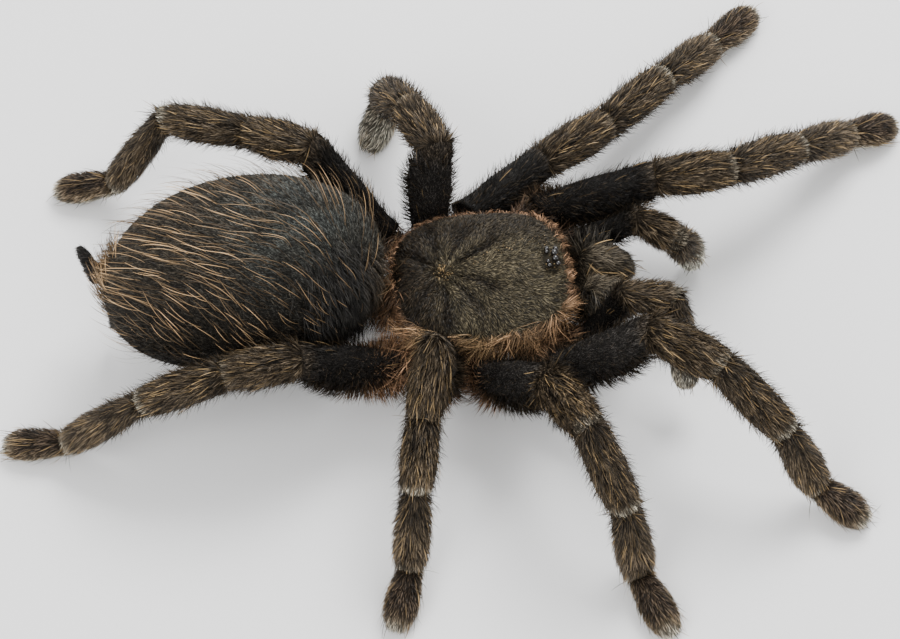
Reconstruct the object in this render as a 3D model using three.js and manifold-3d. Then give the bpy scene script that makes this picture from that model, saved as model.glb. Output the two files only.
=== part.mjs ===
// A large tarantula, preserved dry and standing on its feet.
//
// Units are millimetres. +X points to the head, +Y to the spider's left and +Z up. The feet stand on Z = 0,
// and the whole model is moved at the end so that its box is centred on the Z axis. Every solid has the
// outer form of its furred article. A leg is a chain of hard articles with a thin gap of soft skin between
// each two, and each article is a loft of elliptical rings whose ends lie in the planes of its joints.

import * as THREE from 'three';
import Module from 'manifold-3d';
import { mergeVertices } from 'three/addons/utils/BufferGeometryUtils.js';

const wasm = await Module();
wasm.setup();

// ---------------------------------------------------------------- driving dimensions

const JOINT_GAP = 0.3; // soft skin between two hard articles
const LEG_SIDES = 12; // sides of a leg's section
const ROUND_SIDES = 10; // sides of the section of a coxa, the waist or a spinneret
const HIP_HEIGHT = 9.1; // height of the joints where the leg femora start
const PALP_HIP_HEIGHT = 7.8;

const CARAPACE = { x: 3.0, halfLength: 12.4, halfWidth: 10.3, underside: 12.6, rim: 13.9, yaw: 3 };
const CARAPACE_EDGE = { height: 0.5, inset: 0.01, bevel: 0.05 }; // the rim's wall, and the bevel under it
const CARAPACE_DOME = 3.6; // rise from the rim to the highest part of the back
const HEAD_HUMP = { x: 8.6, rise: 1.5, length: 5.4, width: 4.4 };
const FOVEA = { x: -2.3, depth: 1.4, length: 0.9, width: 2.2 };
const GROOVE_DEPTH = 0.45;
const EYE_MOUND = { x: 12.5, halfLength: 1.5, halfWidth: 1.9, height: 1.0, rimShare: 0.82 };

const ABDOMEN = { x: -29.2, y: 2.1, z: 17.2, halfLength: 19.6, halfWidth: 13.7, halfHeight: 12.4 };
const ABDOMEN_SAG = 6; // degrees that the abdomen's rear hangs below its front
const ABDOMEN_YAW = 2; // degrees that its front end is turned to the left
const TAIL_LEAN = 1.25; // how far its rear end bends to the right

const STERNUM = { x: 1.8, z: 7.4, halfLength: 9.5, halfWidth: 5.6, halfHeight: 1.9 };
const COXA_HALF_WIDTH = { leg: 2.4, palp: 1.85 };
const COXA_ROOT = 3.2; // how far from the midline the coxae start inside the plate
const PEDICEL = { x: -7.6, y: 0.6, z: 10.4, length: 2.6, halfWidth: 1.7, heading: 172, pitch: 20 };
const SPINNERET = { length: 5.7, halfWidth: 1.15 };
const CHELICERA = { x: 15.8, y: 2.78, z: 10.5, length: 8.6, halfWidth: 2.7, halfHeight: 4.2 };
// Where the spinnerets start, from the abdomen's middle. The right one is raised, and the left one hangs.
const SPINNERET_POSES = {
  left_spinneret: { x: -17.9, y: 1.2, z: -6.6, heading: 172, pitch: -70 },
  right_spinneret: { x: -19.75, y: 2.5, z: -0.6, heading: 118, pitch: 44 },
};
const FANG = { length: 7.4, halfWidth: 0.95, z: 5.2, aside: 0.1, setback: 1.4 };
const FANG_BEND = 55; // degrees from its root to its point

// Lengths of a leg's articles and their half widths across the fur, from the hip to the tip.
const LEG_ARTICLES = ['femur', 'patella', 'tibia', 'metatarsus', 'tarsus'];
const LEG_LENGTHS = {
  1: [17.4, 10.6, 12.9, 11.4, 8.1],
  2: [13.5, 11.4, 12.5, 11.6, 9.4],
  3: [13.4, 9.0, 9.8, 11.8, 8.5],
  4: [17.6, 10.0, 12.5, 15.0, 8.8],
};
const LEG_HALF_WIDTHS = {
  1: [2.95, 2.95, 2.7, 2.5, 2.35],
  2: [2.9, 2.9, 2.65, 2.5, 2.3],
  3: [2.85, 2.8, 2.55, 2.35, 2.25],
  4: [2.85, 2.8, 2.55, 2.2, 2.15],
};
const HIPS = { 1: [12.0, 12.7], 2: [2.1, 12.7], 3: [-2.85, 11.6], 4: [-9.1, 10.2] };

// How each leg is set: the heading of every article seen from above (0 = forward, 90 = to the left) and
// its pitch above the horizontal, in degrees.
const LEG_POSES = {
  left_leg_1: { headings: [0, 4, 28, 32, 21], pitches: [21, -1, -23, -32, -21] },
  left_leg_2: { headings: [33, 32, 41, 44, 41], pitches: [4, -5, -9, -20, -11] },
  left_leg_3: { roll: 40, headings: [78, 110, 111, 82, -115], pitches: [67, -15, -43, -57, -10] },
  left_leg_4: { headings: [141, 149, 157, -166, 172], pitches: [45, -15, -11, -57, -19] },
  right_leg_1: { headings: [-9, -37, -37, -40, -36], pitches: [43, 3, -38, -58, -20] },
  right_leg_2: { headings: [-39, -66, -61, -71, -68], pitches: [40, 21, -46, -64, -8] },
  right_leg_3: { headings: [-115, -107, -102, -102, -109], pitches: [71, -29, -22, -57, -19] },
  right_leg_4: { headings: [-165, -176, -177, 177, 171], pitches: [36, -5, -23, -44, -13] },
};

const PALP_ARTICLES = ['femur', 'patella', 'tibia', 'tarsus'];
const PALP_LENGTHS = [11.7, 6.3, 6.9, 6.6];
const PALP_HALF_WIDTHS = [2.0, 2.2, 2.1, 2.0];
const PALP_HIP = [15.4, 8.15];
const PALP_POSES = {
  left_palp: { headings: [-5, -38, 40, 75], pitches: [31, 0, -65, -70] },
  right_palp: { headings: [12, -6, -75, -80], pitches: [56, -6, -48, -60] },
};

// ---------------------------------------------------------------- finishes

const finish = (color, roughness) => new THREE.MeshStandardMaterial({ color, roughness, metalness: 0 });
const BLACK_VELVET = finish(0x1a1612, 0.95);
const OLIVE_FUR = finish(0x4a4132, 0.9);
const FOOT_FUR = finish(0x382c22, 0.9);
const CARAPACE_VELVET = finish(0x3b3628, 0.85);
const ABDOMEN_VELVET = finish(0x221d1a, 0.95);
const JAW_FUR = finish(0x2f2921, 0.9);
const FANG_HORN = finish(0x100c0a, 0.3);

// ---------------------------------------------------------------- closed solids

const vec = (x, y, z) => new THREE.Vector3(x, y, z);
const rad = THREE.MathUtils.degToRad;

// Geometry with its faces pointing out, whichever way round the triangles were listed.
function solidGeometry(points, triangles) {
  const volume = triangles.reduce((sum, [a, b, c]) => (
    sum + points[a].dot(points[b].clone().cross(points[c]))
  ), 0);
  const ordered = volume > 0 ? triangles : triangles.map(([a, b, c]) => [a, c, b]);
  const geometry = new THREE.BufferGeometry().setFromPoints(points);
  geometry.setIndex(ordered.flat());
  geometry.computeVertexNormals();
  return geometry;
}

// A closed skin over a row of rings. A ring of one point is a pole, and an open end gets a flat cap.
function loft(rings) {
  const points = rings.flat();
  const starts = rings.map((_, i) => rings.slice(0, i).flat().length);
  const sides = Math.max(...rings.map((ring) => ring.length));
  const at = (i, k) => starts[i] + (rings[i].length > 1 ? k % sides : 0);
  const triangles = [];
  for (let i = 0; i + 1 < rings.length; i += 1) {
    for (let k = 0; k < sides; k += 1) {
      if (rings[i].length > 1) triangles.push([at(i, k), at(i, k + 1), at(i + 1, k + 1)]);
      if (rings[i + 1].length > 1) triangles.push([at(i, k), at(i + 1, k + 1), at(i + 1, k)]);
    }
  }
  const last = rings.length - 1;
  for (let k = 1; k + 1 < sides; k += 1) {
    if (rings[0].length > 1) triangles.push([at(0, 0), at(0, k + 1), at(0, k)]);
    if (rings[last].length > 1) triangles.push([at(last, 0), at(last, k), at(last, k + 1)]);
  }
  return solidGeometry(points, triangles);
}

function toManifold(geometry) {
  const bare = geometry.clone();
  bare.deleteAttribute('normal');
  bare.deleteAttribute('uv');
  const merged = mergeVertices(bare, 1e-5);
  return new wasm.Manifold(new wasm.Mesh({
    numProp: 3,
    vertProperties: new Float32Array(merged.attributes.position.array),
    triVerts: new Uint32Array(merged.index.array),
  }));
}

function fromManifold(solid) {
  const mesh = solid.getMesh();
  const geometry = new THREE.BufferGeometry();
  geometry.setAttribute('position', new THREE.BufferAttribute(new Float32Array(mesh.vertProperties), 3));
  geometry.setIndex(new THREE.BufferAttribute(new Uint32Array(mesh.triVerts), 1));
  geometry.computeVertexNormals();
  return geometry;
}

const join = (geometries) => (
  fromManifold(geometries.map(toManifold).reduce((whole, part) => whole.add(part)))
);

function piece(name, geometry, material) {
  const mesh = new THREE.Mesh(geometry, material);
  mesh.name = name;
  return mesh;
}

// An elliptical ring across the X axis: half width along Y, half height along Z.
function ring(x, halfWidth, halfHeight, sides = LEG_SIDES, lift = 0) {
  return Array.from({ length: sides }, (_, k) => {
    const angle = (2 * Math.PI * (k + 0.5)) / sides;
    return vec(x, halfWidth * Math.cos(angle), lift + halfHeight * Math.sin(angle));
  });
}

// ---------------------------------------------------------------- legs and palps

// The rings between an article's two joints: [share of its length, share of its half width].
const BULGES = {
  femur: [[0.2, 0.88], [0.42, 1.04], [0.64, 0.99]],
  patella: [[0.36, 0.99], [0.66, 1.04]],
  tibia: [[0.3, 1.0], [0.72, 1.04]],
  metatarsus: [[0.32, 0.93], [0.68, 1.07]],
  tarsus: [[0.36, 1.01], [0.66, 1.09], [0.89, 0.86], [0.98, 0.45]],
};
const JOINT_WAIST = 0.88; // an article's ends, against its half width
const NARROW_STARTS = { metatarsus: 0.76, tarsus: 0.8 }; // the last two articles of a leg start narrower
const FEMUR_DEPTH = { leg: 1.4, palp: 1.05 }; // a femur is deeper than it is wide
const FEMUR_DROP = 0.36; // its fringed keel hangs this share of its half width below its axis

const direction = (heading, pitch) => vec(
  Math.cos(rad(pitch)) * Math.cos(rad(heading)),
  Math.cos(rad(pitch)) * Math.sin(rad(heading)),
  Math.sin(rad(pitch)),
);

// The turn that takes +X to a direction and keeps +Z as upright as it can be.
function turnAlong(forward) {
  const side = vec(0, 0, 1).cross(forward).normalize();
  const up = forward.clone().cross(side);
  return new THREE.Quaternion().setFromRotationMatrix(new THREE.Matrix4().makeBasis(forward, side, up));
}

// Slides a ring's points along X until they lie in the plane through the joint at jointX.
const mitre = (points, jointX, normal, offset) => points.map((p) => (
  vec(jointX + (offset - normal.y * p.y - normal.z * p.z) / normal.x, p.y, p.z)
));

// One article along +X, from its joint at the origin to the one at its length. The normals are those of
// the joint planes, and a limb's last article has none at its tip.
function articleGeometry(kind, femurDepth, length, halfWidth, startNormal, endNormal, endHalfWidth) {
  const depth = kind === 'femur' ? femurDepth : 1;
  const waist = halfWidth * (NARROW_STARTS[kind] ?? JOINT_WAIST);
  const drop = kind === 'femur' ? -FEMUR_DROP * halfWidth : 0;
  const middle = BULGES[kind].map(([share, bulge]) => (
    ring(share * length, halfWidth * bulge, halfWidth * bulge * depth, LEG_SIDES, drop)
  ));
  const start = mitre(ring(0, waist, waist * depth), 0, startNormal, JOINT_GAP / 2);
  const tip = endNormal
    ? mitre(ring(length, endHalfWidth, endHalfWidth), length, endNormal, -JOINT_GAP / 2)
    : [vec(length, 0, 0)];
  return loft([start, ...middle, tip]);
}

// Cuts away what would reach below the ground, which gives a foot its flat sole.
function cutAtGround(geometry, position, turn) {
  const up = vec(0, 0, 1).applyQuaternion(turn.clone().invert());
  return fromManifold(toManifold(geometry).trimByPlane(up.toArray(), -position.z));
}

// A limb's articles end to end, each set at its joint. The coxa's direction sets the first joint's plane.
function limb(name, hip, coxaDirection, kinds, lengths, halfWidths, pose) {
  const group = new THREE.Group();
  const directions = pose.headings.map((heading, i) => direction(heading, pose.pitches[i]));
  const turn = turnAlong(directions[0]).multiply(
    new THREE.Quaternion().setFromAxisAngle(vec(1, 0, 0), rad(pose.roll ?? 0)),
  );
  const position = hip.clone();
  kinds.forEach((kind, i) => {
    const before = i > 0 ? directions[i - 1] : coxaDirection;
    if (i > 0) turn.premultiply(new THREE.Quaternion().setFromUnitVectors(before, directions[i]));
    const back = turn.clone().invert();
    const halfway = (a, b) => a.clone().add(b).normalize().applyQuaternion(back);
    const last = i + 1 === kinds.length;
    const geometry = articleGeometry(
      kind,
      FEMUR_DEPTH[name.includes('palp') ? 'palp' : 'leg'],
      lengths[i],
      halfWidths[i],
      halfway(before, directions[i]),
      last ? null : halfway(directions[i], directions[i + 1]),
      last ? 0 : halfWidths[i + 1] * JOINT_WAIST,
    );
    const material = { femur: BLACK_VELVET, tarsus: FOOT_FUR }[kind] ?? OLIVE_FUR;
    const mesh = piece(`${name}_${kind}`, cutAtGround(geometry, position, turn), material);
    mesh.position.copy(position);
    mesh.quaternion.copy(turn);
    group.add(mesh);
    position.addScaledVector(directions[i], lengths[i]);
  });
  return group;
}

const isLeft = (name) => name.startsWith('left');
const mirrored = (heading, name) => (isLeft(name) ? heading : -heading);

// Where each coxa points, from the breast plate to its hip: heading on the left side, and pitch.
const COXA_HEADINGS = { 1: 48, 2: 76, 3: 104, 4: 132, palp: 26 };
const COXA_PITCH = 8;
const coxaDirection = (key, name) => direction(mirrored(COXA_HEADINGS[key], name), COXA_PITCH);

function hipOf(key, name) {
  const [x, y] = key === 'palp' ? PALP_HIP : HIPS[key];
  return vec(x, isLeft(name) ? y : -y, key === 'palp' ? PALP_HIP_HEIGHT : HIP_HEIGHT);
}

const legs = () => Object.entries(LEG_POSES).map(([name, pose]) => {
  const key = name.at(-1);
  const sizes = [LEG_LENGTHS[key], LEG_HALF_WIDTHS[key]];
  return limb(name, hipOf(key, name), coxaDirection(key, name), LEG_ARTICLES, ...sizes, pose);
});

const palps = () => Object.entries(PALP_POSES).map(([name, pose]) => {
  const sizes = [PALP_LENGTHS, PALP_HALF_WIDTHS];
  return limb(name, hipOf('palp', name), coxaDirection('palp', name), PALP_ARTICLES, ...sizes, pose);
});

// ---------------------------------------------------------------- carapace

const mound = (x, y, length, width) => Math.exp(-((x / length) ** 2) - (y / width) ** 2);

const RIM_BLUNTNESS = { front: 0.58, rear: 0.72 }; // 1 is an ellipse, and less is squarer

// The rim's outline: a rounded box, squarer and a little narrower at the head than at the rear.
function rimPoint(angle) {
  const bluntness = Math.cos(angle) > 0 ? RIM_BLUNTNESS.front : RIM_BLUNTNESS.rear;
  const blunt = (value) => Math.sign(value) * Math.abs(value) ** bluntness;
  const along = blunt(Math.cos(angle));
  const across = blunt(Math.sin(angle));
  const taper = 1 - 0.05 * along - 0.08 * along ** 2;
  return [CARAPACE.x + CARAPACE.halfLength * along, CARAPACE.halfWidth * across * taper];
}

function carapaceHeight(x, y, share) {
  const dome = CARAPACE_DOME * (1 - share ** 2.8) ** 0.75;
  const hump = HEAD_HUMP.rise * mound(x - HEAD_HUMP.x, y, HEAD_HUMP.length, HEAD_HUMP.width);
  const pit = FOVEA.depth * mound(x - FOVEA.x, y, FOVEA.length, FOVEA.width);
  return CARAPACE.rim + dome + hump * (1 - share ** 6) - pit;
}

const SPOKES = 40; // directions from the fovea to the rim
const GROOVE_SPOKES = [4, 9, 14, 18, 22, 26, 31, 36];
const RIM_SHARES = [0.09, 0.2, 0.34, 0.5, 0.66, 0.8, 0.91, 0.98, 1];

function backGeometry() {
  const angles = Array.from({ length: SPOKES }, (_, k) => (2 * Math.PI * k) / SPOKES);
  const back = RIM_SHARES.map((share) => angles.map((angle, k) => {
    const [rimX, rimY] = rimPoint(angle);
    const x = FOVEA.x + share * (rimX - FOVEA.x);
    const y = share * rimY;
    const groove = GROOVE_SPOKES.includes(k) ? GROOVE_DEPTH * Math.sin(Math.PI * share ** 0.8) : 0;
    return vec(x, y, carapaceHeight(x, y, share) - groove);
  }));
  const wall = (inset, z) => angles.map((angle) => {
    const [x, y] = rimPoint(angle);
    return vec(CARAPACE.x + (x - CARAPACE.x) * inset, y * inset, z);
  });
  const pit = [vec(FOVEA.x, 0, carapaceHeight(FOVEA.x, 0, 0))];
  const floor = [vec(CARAPACE.x, 0, CARAPACE.underside)];
  const edge = [
    wall(1 - CARAPACE_EDGE.inset, CARAPACE.underside + CARAPACE_EDGE.height),
    wall(1 - CARAPACE_EDGE.bevel, CARAPACE.underside),
  ];
  return loft([pit, ...back, ...edge, floor]);
}

const EYE_BASE = carapaceHeight(EYE_MOUND.x, 0, EYE_MOUND.rimShare);

// The eye mound's rings from inside the back to its top: [share of its half width, share of its height].
const MOUND_LEVELS = [[1.1, -1.2], [1, 0.3], [0.8, 0.75]];

function eyeMoundGeometry() {
  const level = (share, height) => Array.from({ length: LEG_SIDES }, (_, k) => {
    const angle = (2 * Math.PI * k) / LEG_SIDES;
    return vec(
      EYE_MOUND.x + EYE_MOUND.halfLength * share * Math.cos(angle),
      EYE_MOUND.halfWidth * share * Math.sin(angle),
      EYE_BASE + height * EYE_MOUND.height,
    );
  });
  const top = [vec(EYE_MOUND.x, 0, EYE_BASE + EYE_MOUND.height)];
  return loft([...MOUND_LEVELS.map(([share, height]) => level(share, height)), top]);
}

// The eyes of one side: how far forward and to the side of the mound's middle, and the radius.
const EYES = [[0.5, 0.45, 0.42], [0.8, 1.15, 0.34], [-0.4, 1.3, 0.32], [-0.5, 0.75, 0.28]];

const eyeGeometries = () => EYES.flatMap(([forward, aside, radius]) => [1, -1].map((side) => {
  const reach = Math.hypot(forward / EYE_MOUND.halfLength, aside / EYE_MOUND.halfWidth);
  const height = EYE_BASE + EYE_MOUND.height * (1.05 - 0.5 * reach ** 2);
  return new THREE.OctahedronGeometry(radius, 1).translate(EYE_MOUND.x + forward, side * aside, height);
}));

// The carapace is turned a little to the left about its middle.
function carapace() {
  const geometry = join([backGeometry(), eyeMoundGeometry(), ...eyeGeometries()]);
  geometry.translate(-CARAPACE.x, 0, 0).rotateZ(rad(CARAPACE.yaw)).translate(CARAPACE.x, 0, 0);
  return piece('carapace', geometry, CARAPACE_VELVET);
}

// ---------------------------------------------------------------- underside, waist and abdomen

// The rings of a coxa from the breast plate to its hip: [share of its length, share of its half width].
const COXA_PROFILE = [[1, 0.7], [0.45, 1], [0, 0.88]];

// A short coxa from inside the breast plate to its hip, cut in the plane that it shares with the femur.
function coxaGeometry(key, name, femurDirection, halfWidth) {
  const forward = coxaDirection(key, name);
  const hip = hipOf(key, name);
  const turn = turnAlong(forward);
  const normal = forward.clone().add(femurDirection).normalize().applyQuaternion(turn.clone().invert());
  const length = (Math.abs(hip.y) - COXA_ROOT) / Math.abs(forward.y);
  const rings = COXA_PROFILE.map(([share, width]) => (
    ring(-length * share, halfWidth * width, halfWidth * width, ROUND_SIDES)
  ));
  rings.push(mitre(rings.pop(), 0, normal, -JOINT_GAP / 2));
  const placed = new THREE.Matrix4().compose(hip, turn, vec(1, 1, 1));
  return loft(rings).applyMatrix4(placed);
}

function underside() {
  const plate = new THREE.SphereGeometry(1, 20, 8);
  plate.rotateX(Math.PI / 2);
  plate.scale(STERNUM.halfLength, STERNUM.halfWidth, STERNUM.halfHeight);
  plate.translate(STERNUM.x, 0, STERNUM.z);
  const coxae = Object.entries({ ...LEG_POSES, ...PALP_POSES }).map(([name, pose]) => {
    const key = name.endsWith('palp') ? 'palp' : name.at(-1);
    const halfWidth = COXA_HALF_WIDTH[key === 'palp' ? 'palp' : 'leg'];
    return coxaGeometry(key, name, direction(pose.headings[0], pose.pitches[0]), halfWidth);
  });
  return piece('breast_plate_and_coxae', join([plate, ...coxae]), BLACK_VELVET);
}

function abdomenGeometry() {
  const steps = 14;
  const bend = (along) => -TAIL_LEAN * ((1 - along) / 2) ** 4;
  const rings = Array.from({ length: steps + 1 }, (_, i) => {
    const angle = (Math.PI * i) / steps;
    const along = Math.cos(angle);
    const x = ABDOMEN.halfLength * along;
    if (i === 0 || i === steps) return [vec(x, bend(along), 0)];
    const swell = Math.sin(angle) ** (0.93 - 0.02 * along) * (1 - 0.02 * along);
    const hoop = ring(x, ABDOMEN.halfWidth * swell, ABDOMEN.halfHeight * swell, 24);
    return hoop.map((p) => p.setY(p.y + bend(along)));
  });
  return loft(rings);
}

// Two finger-like spinnerets at the abdomen's rear end, a short thick article and a long thin one each.
function spinneretGeometry() {
  const { length, halfWidth } = SPINNERET;
  const profile = [[0, 0.85], [0.12, 1], [0.4, 0.95], [0.48, 0.72], [0.56, 0.86], [0.8, 0.66], [0.95, 0.34]];
  const rings = profile.map(([share, width]) => (
    ring(length * share, halfWidth * width, halfWidth * width, ROUND_SIDES)
  ));
  return loft([...rings, [vec(length, 0, 0)]]);
}

function rearBody() {
  const group = new THREE.Group();
  group.position.set(ABDOMEN.x, ABDOMEN.y, ABDOMEN.z);
  group.rotation.set(0, -rad(ABDOMEN_SAG), rad(ABDOMEN_YAW), 'ZYX');
  group.add(piece('abdomen', abdomenGeometry(), ABDOMEN_VELVET));
  Object.entries(SPINNERET_POSES).forEach(([name, { x, y, z, heading, pitch }]) => {
    const mesh = piece(name, spinneretGeometry(), BLACK_VELVET);
    mesh.position.set(x, y, z);
    mesh.quaternion.copy(turnAlong(direction(heading, pitch)));
    group.add(mesh);
  });
  return group;
}

function pedicel() {
  const rings = [[0, 1.1], [0.5, 0.85], [1, 1]].map(([share, width]) => (
    ring(PEDICEL.length * share, PEDICEL.halfWidth * width, PEDICEL.halfWidth * width, ROUND_SIDES)
  ));
  const mesh = piece('pedicel', loft(rings), BLACK_VELVET);
  mesh.position.set(PEDICEL.x, PEDICEL.y, PEDICEL.z);
  mesh.quaternion.copy(turnAlong(direction(PEDICEL.heading, PEDICEL.pitch)));
  return mesh;
}

// ---------------------------------------------------------------- jaws

function cheliceraGeometry() {
  const { length, halfWidth, halfHeight } = CHELICERA;
  const profile = [
    [0, 0.84, 0.84, 0.2], [0.22, 0.99, 0.98, 0.3], [0.48, 0.98, 0.98, -0.1], [0.72, 0.86, 0.84, -0.9],
    [0.9, 0.66, 0.62, -1.6], [0.98, 0.38, 0.34, -2.0],
  ];
  const rings = profile.map(([share, width, height, lift]) => (
    ring(share * length, halfWidth * width, halfHeight * height, LEG_SIDES, lift)
  ));
  return loft([...rings, [vec(length, 0, -2.2)]]);
}

// A fang folded back under its jaw: a horn swept along a quarter of an arc.
function fangGeometry() {
  const bend = rad(FANG_BEND);
  const radius = FANG.length / bend;
  const rings = [[0, 1], [0.25, 0.95], [0.5, 0.78], [0.75, 0.5], [0.92, 0.24]].map(([share, width]) => {
    const turned = share * bend;
    const across = new THREE.Matrix4().makeRotationY(turned);
    const middle = vec(radius * Math.sin(turned), 0, radius * (Math.cos(turned) - 1));
    const half = FANG.halfWidth * width;
    return ring(0, half, half, 8).map((p) => p.applyMatrix4(across).add(middle));
  });
  return loft([...rings, [vec(radius * Math.sin(bend), 0, radius * (Math.cos(bend) - 1))]]);
}

const jaws = () => [1, -1].flatMap((side) => {
  const name = side > 0 ? 'left' : 'right';
  const chelicera = piece(`${name}_chelicera`, cheliceraGeometry(), JAW_FUR);
  chelicera.position.set(CHELICERA.x, side * CHELICERA.y, CHELICERA.z);
  const fang = piece(`${name}_fang`, fangGeometry(), FANG_HORN);
  fang.position.set(CHELICERA.x + CHELICERA.length - FANG.setback, side * (CHELICERA.y + FANG.aside), FANG.z);
  fang.rotation.set(0, 0, Math.PI);
  return [chelicera, fang];
});

// ---------------------------------------------------------------- the whole spider

const spider = new THREE.Group();
spider.add(carapace(), underside(), pedicel(), rearBody(), ...jaws(), ...palps(), ...legs());
spider.updateMatrixWorld(true);
const middle = new THREE.Box3().setFromObject(spider, true).getCenter(vec(0, 0, 0));
spider.position.set(-middle.x, -middle.y, 0);

export default spider;
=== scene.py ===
# Dresses the solids of a dried tarantula with skins, fur, bristles, eyes, claws and a plain stage.

import math
from collections import defaultdict
from types import SimpleNamespace

import bmesh
import bpy
import numpy as np
from bpy.props import FloatProperty, FloatVectorProperty, IntProperty, PointerProperty
from mathutils import Matrix, Quaternion, Vector


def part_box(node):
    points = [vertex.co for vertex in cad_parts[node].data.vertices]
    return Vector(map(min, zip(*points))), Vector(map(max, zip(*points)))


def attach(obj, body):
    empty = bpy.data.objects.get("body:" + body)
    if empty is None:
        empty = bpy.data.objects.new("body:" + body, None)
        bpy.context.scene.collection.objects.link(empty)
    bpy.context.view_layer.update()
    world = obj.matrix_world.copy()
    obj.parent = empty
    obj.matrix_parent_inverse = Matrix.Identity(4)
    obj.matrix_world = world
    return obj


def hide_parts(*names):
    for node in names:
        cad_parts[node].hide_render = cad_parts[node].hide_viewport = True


bl_info = {
    "name": "Dried Tarantula",
    "version": (1, 0, 0),
    "blender": (4, 5, 0),
    "location": "3D View > Sidebar > Tarantula",
    "description": "Skins, fur, bristles, eyes and claws around the solids of a tarantula preserved dry",
    "category": "Add Mesh",
}

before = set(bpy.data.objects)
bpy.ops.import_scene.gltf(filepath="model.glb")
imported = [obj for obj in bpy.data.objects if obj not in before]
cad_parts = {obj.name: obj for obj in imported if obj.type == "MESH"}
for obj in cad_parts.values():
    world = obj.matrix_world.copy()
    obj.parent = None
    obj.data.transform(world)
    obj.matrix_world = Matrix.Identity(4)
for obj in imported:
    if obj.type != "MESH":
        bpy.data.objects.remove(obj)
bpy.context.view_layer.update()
CAD_TOP = max(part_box(node)[1].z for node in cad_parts)

MM = 0.001
PER_MM2 = 1e6
MERGE_DISTANCE = 1e-6
GROUND_CLEARANCE = 0.02 * MM
CEILING = CAD_TOP - 0.3 * MM
HEADROOM = 0.9 * MM
SHARP_ANGLE = math.radians(50)
END_CREASE = 0.75
JOINT_INSET = 0.5 * MM
JOINT_THICKNESS = 0.7 * MM
JOINT_REACH = 0.9 * MM
# Edges flatter than this are dissolved before rounding, and faces with more sides than this are cut up.
FLAT_ANGLE = 0.01
MANY_SIDES = 14
# The part of a foot's length past which its corners are its tip.
TIP_SHARE = 0.94
CLAW_RADIUS = 0.13 * MM
SPINNERET_ROOT = 1.5 * MM
SPINNERET_DEPTH = 1.3 * MM
FLOOR_HALF = 1.6
AIM_OFFSET = (-4.592, -2.791)
AIM_HEIGHT = 8.0
ROOT = "root"

# ------------------------------------------------------------------ names and places

LEG_ARTICLES = ("femur", "patella", "tibia", "metatarsus", "tarsus")
PALP_ARTICLES = ("femur", "patella", "tibia", "tarsus")
LEGS = [f"{side}_leg_{number}" for side in ("left", "right") for number in (1, 2, 3, 4)]
PALPS = ["left_palp", "right_palp"]
COXAE = "breast_plate_and_coxae"
# Legs with rusty hair round their hips.
RUSTY_HIPS = {"right_leg_2", "right_leg_3", "right_leg_4"}
# Legs whose hips have little upright hair.
BARE_HIPS = {"left_leg_2", "left_leg_3", "left_leg_4"}
# How much lighter than plain velvet the femora are that face the light.
VELVET_SHEEN = {
    "right_leg_1": 2.9, "right_leg_2": 2.5, "right_leg_3": 1.6, "right_leg_4": 1.3, "left_leg_3": 2.8,
}
SLOTS = {"femur": "black_velvet", "tarsus": "foot_fur", "patella": "olive_fur", "tibia": "olive_fur"}
SLOTS["metatarsus"] = "olive_fur"
# How far an article's skin lies inside its solid, in mm.
INSETS = {"femur": 0.22, "patella": 0.3, "tibia": 0.3, "metatarsus": 0.28, "tarsus": 0.2}
SKIN_VALUES = {"comb", "cover", "reach", "rise"}
# Directions of the carapace's grooves from the fovea, in degrees from straight ahead.
SPOKES = [25, -27, 60, -56, 98, -92, 140, -134]
GROOVE_ANGLE = 0.12
GROOVE_DEPTH = 0.5 * MM

# Headings of the waves that make up a ripple.
RIPPLES = [(1.0, 0.3, 0.5), (-0.4, 1.0, 0.6), (0.5, -0.7, 1.0), (0.9, 0.8, -0.4), (-0.8, 0.5, -0.7)]


def box_of(node):
    """The low and the high corner of a node's box."""
    return np.array([corner[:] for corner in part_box(node)])


SHIELD = box_of("carapace").sum(0) / 2
SHIELD_HALF = np.array([12.4, 10.3]) * MM
SHIELD_YAW = math.radians(3)
SHIELD_FORWARD = np.array([math.cos(SHIELD_YAW), math.sin(SHIELD_YAW), 0])
SHIELD_LEFT = np.array([-math.sin(SHIELD_YAW), math.cos(SHIELD_YAW), 0])
FOVEA = SHIELD - SHIELD_FORWARD * 5.3 * MM
EYE_MOUND = SHIELD + SHIELD_FORWARD * 9.5 * MM
# Each eye of one side: how far forward and to the side of the mound's middle, and its radius, in mm.
EYES = [(0.5, 0.45, 0.46), (0.8, 1.15, 0.38), (-0.4, 1.3, 0.36), (-0.5, 0.75, 0.31)]


def linear(code):
    """A colour written as six hexadecimal digits, in scene-linear values."""
    parts = [int(code[i : i + 2], 16) / 255 for i in (0, 2, 4)]
    return tuple(c / 12.92 if c <= 0.04045 else ((c + 0.055) / 1.055) ** 2.4 for c in parts)


# ------------------------------------------------------------------ settings


# Each length of the fur in mm, and what it is.
LENGTHS = {
    "hair_width": (0.12, "Width of a hair of the coat at its root"),
    "leg_hair": (1.6, "Length of the combed hairs on the legs"),
    "leg_bristle": (3.0, "Length of the long golden bristles on the legs"),
    "leg_stray": (2.0, "Length of the dark hairs that stand out from the legs"),
    "leg_fringe": (2.4, "Length of the fringe under a femur"),
    "velvet": (0.5, "Length of the velvet on the femora"),
    "shield_velvet": (0.62, "Length of the velvet on the carapace"),
    "shield_fringe": (3.2, "Length of the fringe round the carapace"),
    "abdomen_velvet": (0.55, "Length of the velvet on the abdomen"),
    "abdomen_bristle": (6.0, "Length of the long bristles on the abdomen"),
    "jaw_hair": (1.3, "Length of the coarse hairs on the jaws"),
    "coxa_hair": (3.4, "Length of the tangled hairs round the coxae"),
}
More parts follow.
